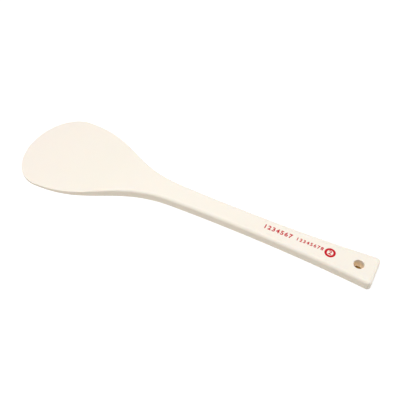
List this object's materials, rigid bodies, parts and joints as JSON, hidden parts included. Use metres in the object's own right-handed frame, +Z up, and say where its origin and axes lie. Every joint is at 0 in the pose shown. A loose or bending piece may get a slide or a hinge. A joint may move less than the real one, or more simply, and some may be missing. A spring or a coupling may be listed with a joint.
{
  "type": "plastic turner",
  "caption": "Flat rice-paddle shaped plastic turner: rounded blade thinning to its tip, hollow-edged tapered handle and a round hanging hole.",
  "frame": {"origin": "centre of the footprint on the surface that the turner lies on, at the flat underside", "axes": "+X along the turner towards the handle's end with the hanging hole, the blade's tip at -X; +Y across it; +Z up, out of the top face"},
  "size_m": [0.36, 0.098, 0.0095],
  "materials": {
    "cream_plastic": "satin moulded cream plastic"
  },
  "bodies": {
    "root": {"paddle": "cream_plastic"}
  },
  "joints": []
}
